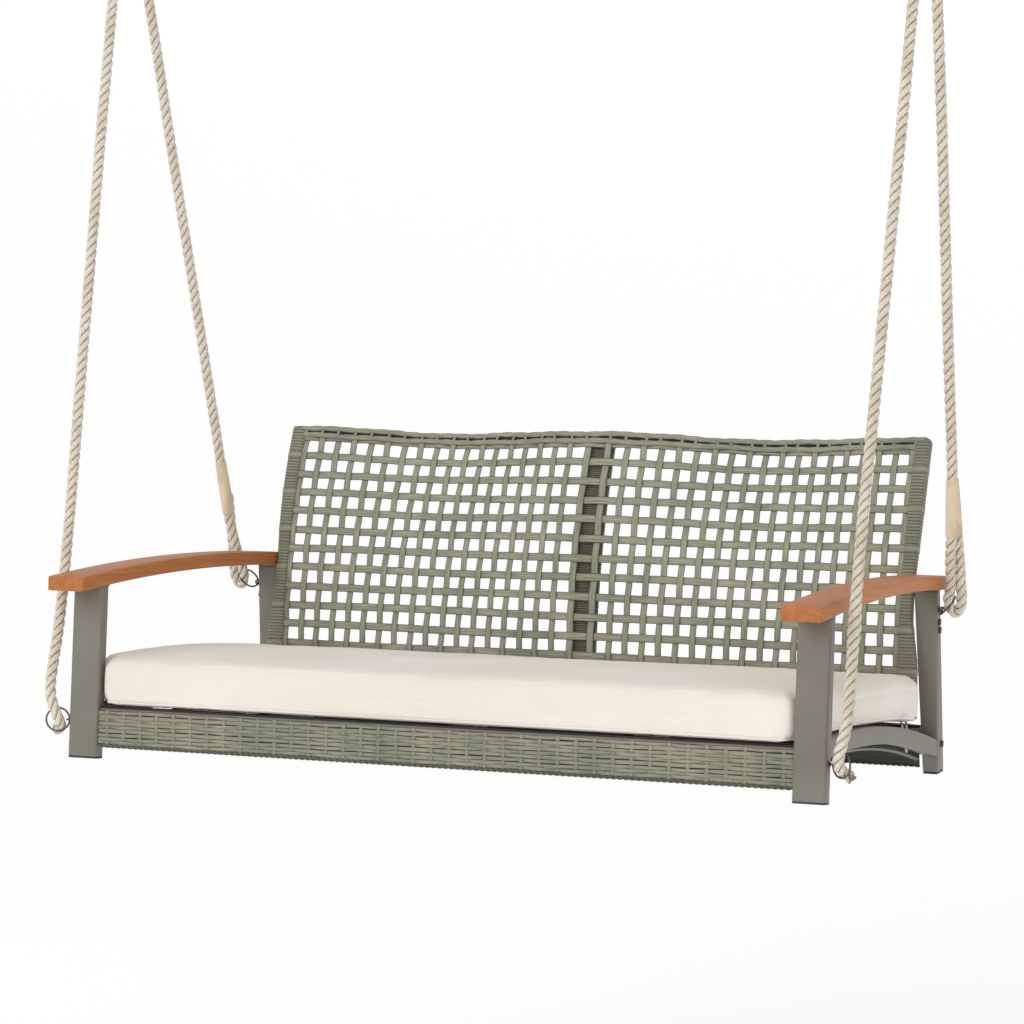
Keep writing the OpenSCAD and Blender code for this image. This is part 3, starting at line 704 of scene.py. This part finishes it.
def apron(name, half, y, low, high, rows, pitch, outward, roll):
    parts = []
    row_h = (high - low) / rows
    for row in range(rows):
        level = low + (row + 0.5) * row_h + 0.5 * math.sin(5.1 * row)
        start = 7.3 * math.sin(2.3 * row)

        def place(u, v):
            x = (2 * u - 1) * half
            across, through = strip_section(v, row_h + 0.7 * math.sin(2.9 * row), 1.3)
            c = np.cos(math.pi * ((x + start) / pitch + row))
            wave = outward * 0.95 * c / np.sqrt(c * c + 0.12)
            waver = 0.5 * np.sin(x / 53.0 + 2 * row) + 0.3 * np.sin(x / 19.0 + row)
            return hung(stack(x, y + wave + through, level + across + waver))
        parts.append(rolled(name, 320, 8, place, 2 * half * MM, STRAND_GIRTH))
    stakes = int(2 * half / pitch)
    for k in range(stakes):
        x0 = -half + (k + 0.5) * 2 * half / stakes

        def place(u, v):
            z = low + u * (high - low)
            across, through = strip_section(v, 7.0, 0.8)
            return hung(stack(x0 + across, y + through, z))
        parts.append(rolled(name, 2, 8, place, (high - low) * MM, STRAND_GIRTH))
    for strand in range(2 if roll else 0):
        def place(u, v):
            x = (2 * u - 1) * half
            a = 2 * math.pi * x / 20.0 + math.pi * strand
            return hung(stack(x, y + 0.6 + 1.7 * np.cos(a) + 2.1 * np.cos(2 * math.pi * v),
                              low - 2.6 + 1.5 * np.sin(a) + 2.1 * np.sin(2 * math.pi * v)))
        parts.append(rolled(name, 500, 8, place, 2 * half * MM, STRAND_GIRTH))
    return joined(name, parts)


def painted_shade_sheet(name, half, y0, y1, z0, z1):
    """A thin dark box: painted shade for the shadowed weave that lies behind or under what is modelled."""
    def place(u, v):
        up, through = bar_section(v, z1 - z0, y1 - y0, 0.1)
        return hung(stack((2 * u - 1) * half, (y0 + y1) / 2 + through, (z0 + z1) / 2 + up))
    return joined(name, [rolled(name, 60, 8, place, 2 * half * MM, STRAND_GIRTH)])


put(apron("woven_front_apron", 571.3, 7.0, 23.5, 76.0, 9, STAKE_PITCH, -1, True), "bench", "wicker", wicker,
    "front_apron")
put(apron("woven_rear_apron", 577.6, 624.6, 16.0, 77.6, 9, STAKE_PITCH, 1, True), "bench", "dark_wicker",
    dark_wicker, "rear_apron")
# Painted shade: thin near-black sheets behind both aprons and over the front rail, where only shadow shows.
put(painted_shade_sheet("front_apron_shade_sheet", 571.2, 8.5, 9.1, 22.0, 75.5), "bench", "wicker", painted_shade_finish)
put(painted_shade_sheet("rear_apron_shade_sheet", 577.5, 622.2, 622.8, 14.0, 77.0), "bench", "dark_wicker", painted_shade_finish)
put(painted_shade_sheet("front_rail_shade_sheet", 571.2, 9.2, 32.0, 79.2, 82.0), "bench", "wicker", painted_shade_finish)

# %% [markdown]
# A lighter strand trims the deck's edge just inside each arched side rail.

# %% Deck edge trims
def rail_top(y):
    return 96 - 2.59e-4 * (y - 230) ** 2


for hand, side in (("left", 1), ("right", -1)):
    def place(u, v):
        y = 34 + u * 570
        a = 2 * math.pi * v
        ripple = 1 + 0.1 * np.abs(np.sin(math.pi * y / 6.0))
        return hung(stack(side * (578.5 + 3.0 * ripple * np.cos(a)), y,
                          rail_top(y) - 27 - 7.5 + 3.4 * ripple * np.sin(a)))
    trim = rolled("trim", 280, 10, place, 0.57, 0.02)
    put(joined(f"edge_trim_{hand}", [trim]), "bench", "wicker", wicker)

# %% [markdown]
# The seat cushion is a foam slab in a canvas cover, as wide as the gap between the legs.  It is flat
# underneath, where it lies on the deck, and softly crowned above.  The slab starts as a cube primitive
# whose subdivided faces are drawn out to size, a little small.  It is remeshed evenly, and cloth pressure
# then swells the cover; how far a point may move is capped, so the cushion keeps its size.

# %% Cushion
CUSHION_HALF, WING_HALF, WING_Y = 569.5, 594.5, 32.0
CUSHION_MID, CUSHION_DEPTH = 290.5, 287.0
CUSHION_T = 65.0
EDGE_ROUND = 16.0
SWELL_CAP = 9.0
CLOTH_FRAMES = 18
SIDE_CAP = 1.5


def slab(corners):
    """Where the cube's points go: an even slab on the arched deck, notched for the front legs, with
    softly rounded upper edges and crisp lower ones."""
    a, b, c = (np.sin(math.pi / 2 * corners[:, k]) for k in range(3))
    y = CUSHION_MID + CUSHION_DEPTH * b
    widen = np.clip((y - WING_Y + 4) / 6, 0, 1)
    half_x = CUSHION_HALF + (WING_HALF - CUSHION_HALF) * widen
    x = half_x * a
    y = y + 7 * np.abs(a) ** 40 * (b < -0.5) - 22 * np.abs(a) ** 16 * (b > 0.5) * b
    inset = np.minimum(half_x - np.abs(x), CUSHION_DEPTH - np.abs(y - CUSHION_MID))
    short = np.clip(EDGE_ROUND - inset, 0, EDGE_ROUND)
    drop = EDGE_ROUND - np.sqrt(EDGE_ROUND**2 - short**2)
    floor_z = np.where(np.abs(x) > 581, np.maximum(deck_top(y), rail_top(y)), deck_top(y)) + 1.0
    floor_z = floor_z - 5.0 * np.clip((16 - y) / 14, 0, 1)
    half = (deck_top(y) + 1.5 + CUSHION_T - floor_z) / 2
    side = np.where(c > 0, half - drop, half - 0.15 * drop)
    return np.stack([x, y, floor_z + half + c * side], axis=1) * MM


def vertices_of(mesh):
    flat = np.empty(len(mesh.vertices) * 3, np.float32)
    mesh.vertices.foreach_get("co", flat)
    return flat.reshape(-1, 3).astype(float)


def set_vertices(mesh, points):
    mesh.vertices.foreach_set("co", np.asarray(points, np.float32).ravel())
    mesh.update()


def apply_modifier(piece, kind, **settings):
    only(piece)
    modifier = piece.modifiers.new(kind.lower(), kind)
    for key, value in settings.items():
        setattr(modifier, key, value)
    bpy.ops.object.modifier_apply(modifier=modifier.name)


bpy.ops.object.select_all(action="DESELECT")
bpy.ops.mesh.primitive_cube_add(size=2)
cushion = bpy.context.object
cushion.name = cushion.data.name = "seat_pad"
bpy.ops.object.mode_set(mode="EDIT")
bpy.ops.mesh.select_all(action="SELECT")
bpy.ops.mesh.subdivide(number_cuts=56)
bpy.ops.object.mode_set(mode="OBJECT")
set_vertices(cushion.data, slab(vertices_of(cushion.data)))
apply_modifier(cushion, "REMESH", mode="VOXEL", voxel_size=0.0076)
before = vertices_of(cushion.data)
print("cushion has", len(before), "points before it swells")

# %% [markdown]
# Cloth runs with pressure and without gravity. The swelling is measured against the slab, capped, and
# taken away underneath, where the deck holds the cover flat.

# %% Swelling the cover
only(cushion)
bpy.ops.object.modifier_add(type="CLOTH")
cloth = cushion.modifiers[-1]
cloth.settings.quality = 4
cloth.settings.mass = 0.3
cloth.settings.tension_stiffness = 12
cloth.settings.compression_stiffness = 12
cloth.settings.bending_stiffness = 1.5
cloth.settings.use_pressure = True
cloth.settings.uniform_pressure_force = 4
cloth.settings.effector_weights.gravity = 0
cloth.collision_settings.use_collision = False
for number in range(1, CLOTH_FRAMES + 1):
    bpy.context.scene.frame_set(number)
swollen = cushion.evaluated_get(bpy.context.evaluated_depsgraph_get()).data
moved = vertices_of(swollen) - before
cushion.modifiers.remove(cloth)
bpy.context.scene.frame_set(1)
for axis, middle in ((0, 0.0), (1, CUSHION_MID * MM)):
    outward = np.sign(before[:, axis] - middle)
    moved[:, axis] = outward * np.clip(outward * moved[:, axis], 0, SIDE_CAP * MM)
moved[:, 2] = np.clip(moved[:, 2], -SWELL_CAP * MM, SWELL_CAP * MM)
height = before[:, 2] - deck_top(before[:, 1] / MM) * MM
moved[:, 2] = np.where(height < 0.012, np.maximum(moved[:, 2], 0), moved[:, 2])
x, y = before[:, 0], before[:, 1]
creases = (0.0006 * np.sin(11 * x + 2.1 * np.sin(9 * y)) + 0.0004 * np.sin(27 * x - 19 * y + 1.0)
           + 0.0003 * np.sin(60 * x + 4 * np.sin(14 * x))) * np.clip(height / 0.03, 0, 1)
after = before + moved
after[:, 2] += creases
after[:, 1] += np.where(before[:, 1] < 0.03, 1.2 * creases, 0)
after[:, 1] = np.maximum(after[:, 1], 0.0005)
set_vertices(cushion.data, after)
print("cushion swelled by up to", round(1000 * float(np.linalg.norm(moved, axis=1).max()), 1), "mm")
apply_modifier(cushion, "SMOOTH", factor=0.5, iterations=3)
apply_modifier(cushion, "SUBSURF", levels=1, render_levels=1)

# %% [markdown]
# A thin piped seam runs right round the cover, low on its sides.  Its line is found by looking inwards at
# the finished cushion from all round, so the piping lies on the fabric wherever the fabric ended up.

# %% Piping
PIPING_R = 2.1
PIPING_UP = 7.0
tree_of_faces = BVHTree.FromPolygons(
    [tuple(v) for v in vertices_of(cushion.data)], [tuple(p.vertices) for p in cushion.data.polygons])
perimeter = []
for corner, heading, length in (((-0.67, -0.07), (1, 0), 1.34), ((0.67, -0.07), (0, 1), 0.72),
                                ((0.67, 0.65), (-1, 0), 1.34), ((-0.67, 0.65), (0, -1), 0.72)):
    steps = int(length / 0.004)
    for k in range(steps):
        px, py = corner[0] + heading[0] * length * k / steps, corner[1] + heading[1] * length * k / steps
        inner = (min(max(px, -0.53), 0.53), min(max(py, 0.04), 0.54))
        toward = Vector((inner[0] - px, inner[1] - py, 0)).normalized()
        guess = min(max(py, 0.0), 0.58) * 1000
        seam = (max(deck_top(guess), rail_top(guess)) if abs(px) > 0.6 else deck_top(guess)) + PIPING_UP
        hit = tree_of_faces.ray_cast(Vector((px, py, seam * MM)), toward)
        if hit[0] is not None:
            perimeter.append(np.array(hit[0]) / MM - np.array(toward) * 0.9)
loop, _ = smooth_line(perimeter[::3] + [perimeter[0]], 4.0)
loop_t = frames_along(loop)[0]


def place(u, v):
    i = np.rint(u * (len(loop) - 1)).astype(int) % (len(loop) - 1)
    up = np.array([0.0, 0.0, 1.0])
    out = np.cross(loop_t[i], up)
    out /= np.linalg.norm(out, axis=1)[:, None]
    a = 2 * math.pi * v
    return hung(loop[i] + PIPING_R * (np.cos(a)[:, None] * out + np.sin(a)[:, None] * up))


piping = joined("seat_pad_piping", [rolled("piping", len(loop) - 1, 10, place, 3.4, 0.013)])
set_vertices(cushion.data, hung(vertices_of(cushion.data) / MM))
cushion = joined("seat_pad", [cushion])

# %% [markdown]
# The cover is a plain cream canvas.  Its weave is far finer than the cushion's folds: two families of
# threads, crossed by their sines on object coordinates so that it needs no UV map, with a soft unevenness
# of colour and a slight sheen.

# %% Canvas finish
canvas, tree, shader = start_finish("cream_canvas", 0.9)
split = add(tree, "SeparateXYZ", Vector=placed(tree, "Object", (1, 1, 1)))
threads = []
for axis, count in (("X", 4200.0), ("Y", 4200.0), ("Z", 4200.0)):
    angle = maths(tree, "MULTIPLY", split.outputs[axis], count)
    threads.append(maths(tree, "SINE", angle))
weave = maths(tree, "MULTIPLY", threads[0], threads[1])
weave = maths(tree, "MULTIPLY_ADD", threads[0], threads[2], weave)
slub = add(tree, "TexNoise", Vector=placed(tree, "Object", (260, 260, 260)), Scale=1.0, Detail=4.0)
cloudy = add(tree, "TexNoise", Vector=placed(tree, "Object", (5, 5, 5)), Scale=1.0, Detail=3.0)
height = maths(tree, "MULTIPLY_ADD", slub.outputs["Fac"], 2.0, weave)
tint = maths(tree, "MULTIPLY_ADD", slub.outputs["Fac"], 0.35, cloudy.outputs["Fac"])
tree.links.new(tone_between(tree, tint, (0.79, 0.735, 0.645), (0.875, 0.825, 0.74), 0.45, 0.9),
               shader.inputs["Base Color"])
relief(tree, shader, height, 0.00012)
shader.inputs["Sheen Weight"].default_value = 0.12
shader.inputs["Specular IOR Level"].default_value = 0.25
put(cushion, "bench", "canvas", canvas, "cushion")
put(piping, "bench", "canvas", canvas)

# %% [markdown]
# At each rear corner a thin tape ties the cushion to the rear rail.  It hangs down in a small loop and
# goes back up behind the rail.

# %% Cushion ties
TIE_D = 3.2
TIE_ROUTE = [(556, 578, 92), (562, 575, 80), (570, 566, 60), (573, 561, 47), (572, 570, 38), (569, 583, 40),
    (566, 590, 52), (565, 593, 66), (564, 592, 80), (562, 588, 88)]
for hand, side in (("left", 1), ("right", -1)):
    line, run = smooth_line(np.array(TIE_ROUTE, float) * (side, 1, 1), 2.0)
    t, n, b = frames_along(line)

    def place(u, v):
        i = np.rint(u * (len(line) - 1)).astype(int)
        a = 2 * math.pi * v
        return hung(line[i] + TIE_D / 2 * (np.cos(a)[:, None] * n[i] + np.sin(a)[:, None] * b[i]))
    tie = joined(f"tie_cord_{hand}", [rolled("tie", len(line) - 1, 10, place, run[-1] * MM, 0.01)])
    put(tie, "bench", "canvas", canvas, *(["cushion_ties"] if side > 0 else []))
    print("tie runs", round(run[-1]), "mm")

# %% [markdown]
# The armrests are oiled hardwood, orange brown.  The grain runs from front to back: slow dark bands, and
# fine pores drawn far out along the same way.  The bench's tilt is taken out of the coordinates first, so
# the grain lies level with the arm.

# %% Wood finish
wood, tree, shader = start_finish("oiled_hardwood", 0.5)


def along_arm(scale):
    level = add(tree, "Mapping", i0=add(tree, "TexCoord").outputs["Object"], Rotation=(HANG_TILT, 0, 0))
    return add(tree, "Mapping", i0=level.outputs["Vector"], Scale=scale).outputs["Vector"]


figure = add(tree, "TexNoise", Vector=along_arm((21, 1.3, 21)), Scale=1.0, Detail=2.0, Distortion=0.4)
bands = maths(tree, "MULTIPLY", figure.outputs["Fac"], 9.0)
bands = maths(tree, "PINGPONG", bands, 0.5)
pores = add(tree, "TexNoise", Vector=along_arm((620, 9, 620)), Scale=1.0, Detail=4.0)
broad = add(tree, "TexNoise", Vector=along_arm((9, 2, 9)), Scale=1.0, Detail=2.0)
mixed = maths(tree, "MULTIPLY_ADD", bands, 0.35, pores.outputs["Fac"])
mixed = maths(tree, "MULTIPLY_ADD", broad.outputs["Fac"], 0.5, mixed)
tree.links.new(tone_between(tree, mixed, (0.305, 0.091, 0.020), (0.480, 0.172, 0.042), 0.55, 1.05),
               shader.inputs["Base Color"])
relief(tree, shader, pores.outputs["Fac"], 0.0003)
shader.inputs["Specular IOR Level"].default_value = 0.4

# %% [markdown]
# The frame is powder-coated tube, a warm mid grey with the faint pebbling of baked powder.  The hardware
# is zinc-plated steel; the small rings are a darker wire.  Nylon bushes and black plastic leg ends finish
# the list.  Each one gets an unevenness of tone and gloss, so no surface is one flat colour.

# %% Frame and hardware finishes
def hard_finish(name, dark, light, rough, metallic, grain, depth):
    material, tree, shader = start_finish(name, rough[0], metallic)
    fine = add(tree, "TexNoise", Vector=placed(tree, "Object", (grain,) * 3), Scale=1.0, Detail=3.0)
    broad = add(tree, "TexNoise", Vector=placed(tree, "Object", (11, 11, 11)), Scale=1.0, Detail=4.0)
    tone = tone_between(tree, broad.outputs["Fac"], dark, light, 0.35, 0.65)
    tree.links.new(tone, shader.inputs["Base Color"])
    gloss = add(tree, "MapRange", i0=broad.outputs["Fac"])
    gloss.inputs["To Min"].default_value, gloss.inputs["To Max"].default_value = rough
    tree.links.new(gloss.outputs[0], shader.inputs["Roughness"])
    relief(tree, shader, fine.outputs["Fac"], depth)
    return material


METAL, DARK_METAL, NOT_METAL = 1.0, 0.9, 0.0
powder = hard_finish("grey_powder_coat", (0.160, 0.152, 0.120), (0.186, 0.177, 0.141), (0.42, 0.52),
    NOT_METAL, 800, 0.00025)
zinc = hard_finish("zinc_plate", (0.48, 0.48, 0.46), (0.62, 0.62, 0.60), (0.28, 0.42), METAL, 500, 0.0001)
dark_wire = hard_finish("dark_wire", (0.10, 0.098, 0.092), (0.17, 0.165, 0.155), (0.3, 0.42),
    DARK_METAL, 500, 0.0001)
nylon = hard_finish("natural_nylon", (0.70, 0.68, 0.60), (0.80, 0.78, 0.70), (0.4, 0.5),
    NOT_METAL, 300, 0.0001)
plastic = hard_finish("black_plastic", (0.018, 0.018, 0.018), (0.03, 0.03, 0.03), (0.45, 0.6),
    NOT_METAL, 600, 0.0001)

# %% [markdown]
# These measured parts already have the right shape, so they stay and only get eased edges and a finish.
# Weld joins their loose triangles, and Bevel rounds each hard edge by what a maker would leave there.

# %% Finishing the measured parts
BOTH = ("left", "right")
small_rings = [f"{part}_ring_{hand}" for part in ("front", "rear") for hand in BOTH]
finished = [
    (wood, 2.2, ["armrest_left", "armrest_right"]),
    (powder, 2.4, ["rear_leg_left", "rear_leg_right", "side_rail_left", "side_rail_right"]),
    (powder, 0.6, ["front_leg_left", "front_leg_right", "arm_plates"]),
    (powder, 1.2, ["front_rail", "rear_rail", "seat_ribs", "apron_rod"]),
    (plastic, 0.5, ["leg_end_caps"]),
    (plastic, 0.9, ["frame_bolts"]),
    (zinc, 0.8, [f"{part}_{hand}" for part in ("plate", "pivot_bolt", "hanger") for hand in BOTH]),
    (zinc, 0.3, ["arm_screws", "rivet_nuts"]),
    (zinc, 0.0, ["top_ring_left", "top_ring_right"]),
    (dark_wire, 0.0, ["eye_bolts"] + small_rings),
    (nylon, 0.3, ["bush_left", "bush_right"]),
]
for finish, ease, names in finished:
    for name in names:
        part = nodes[name]
        part.data.materials.clear()
        part.data.materials.append(finish)
        part.data.polygons.foreach_set("use_smooth", np.ones(len(part.data.polygons), bool))
        part.modifiers.new("weld", "WELD").merge_threshold = 0.00001
        if ease:
            bevel = part.modifiers.new("ease", "BEVEL")
            bevel.width = ease * MM
            bevel.segments = 3
            bevel.limit_method = "ANGLE"
            bevel.angle_limit = math.radians(34)
            bevel.harden_normals = True
        split_edges = part.modifiers.new("corners", "EDGE_SPLIT")
        split_edges.split_angle = math.radians(38)

# %% [markdown]
# The room: a pale floor that sweeps up into a pale wall, an even sky, and one broad soft lamp in front and
# to the left.  The sides that face right stay a little darker, which keeps the legs and cushion solid.

# %% Floor, light and view
FLOOR_Z, WALL_Y, SWEEP_R = -2.3, 9.0, 3.0
FLOOR_LONG, FLOOR_WIDE = 30.0, 40.0


def place(u, v):
    run = (u - 0.5) * FLOOR_LONG
    past = run - (WALL_Y - SWEEP_R)
    bend = np.clip(past / SWEEP_R, 0, math.pi / 2)
    y = np.minimum(run, WALL_Y - SWEEP_R) + SWEEP_R * np.sin(bend)
    z = FLOOR_Z + SWEEP_R * (1 - np.cos(bend)) + np.clip(past - SWEEP_R * math.pi / 2, 0, None)
    return stack((v - 0.5) * FLOOR_WIDE, y, z)


floor = rolled("floor", 240, 4, place, 1, 1, closed=False)
pale, tree, shader = start_finish("pale_floor", 0.9)
shader.inputs["Base Color"].default_value = (0.93, 0.93, 0.93, 1)
shader.inputs["Specular IOR Level"].default_value = 0.0
shader.inputs["Emission Color"].default_value = (1, 1, 1, 1)
shader.inputs["Emission Strength"].default_value = 0.17
floor.data.materials.append(pale)

world = bpy.data.worlds.new("sky")
bpy.context.scene.world = world
world.use_nodes = True
world.node_tree.nodes["Background"].inputs["Color"].default_value = (1, 1, 1, 1)
world.node_tree.nodes["Background"].inputs["Strength"].default_value = 0.80


def soft_lamp(name, at, size, power):
    lamp = bpy.data.lights.new(name, "AREA")
    lamp.size = size
    lamp.energy = power
    thing = bpy.data.objects.new(name, lamp)
    bpy.context.collection.objects.link(thing)
    toward = Vector((0, 0, -1.2)) - Vector(at)
    thing.matrix_world = Matrix.Translation(at) @ toward.to_track_quat("-Z", "Y").to_matrix().to_4x4()


soft_lamp("key", (-2.2, -5.0, 1.6), 3.0, 75)
soft_lamp("front", (1.8, -6.0, -0.4), 2.5, 34)
bpy.context.scene.view_settings.view_transform = "Standard"
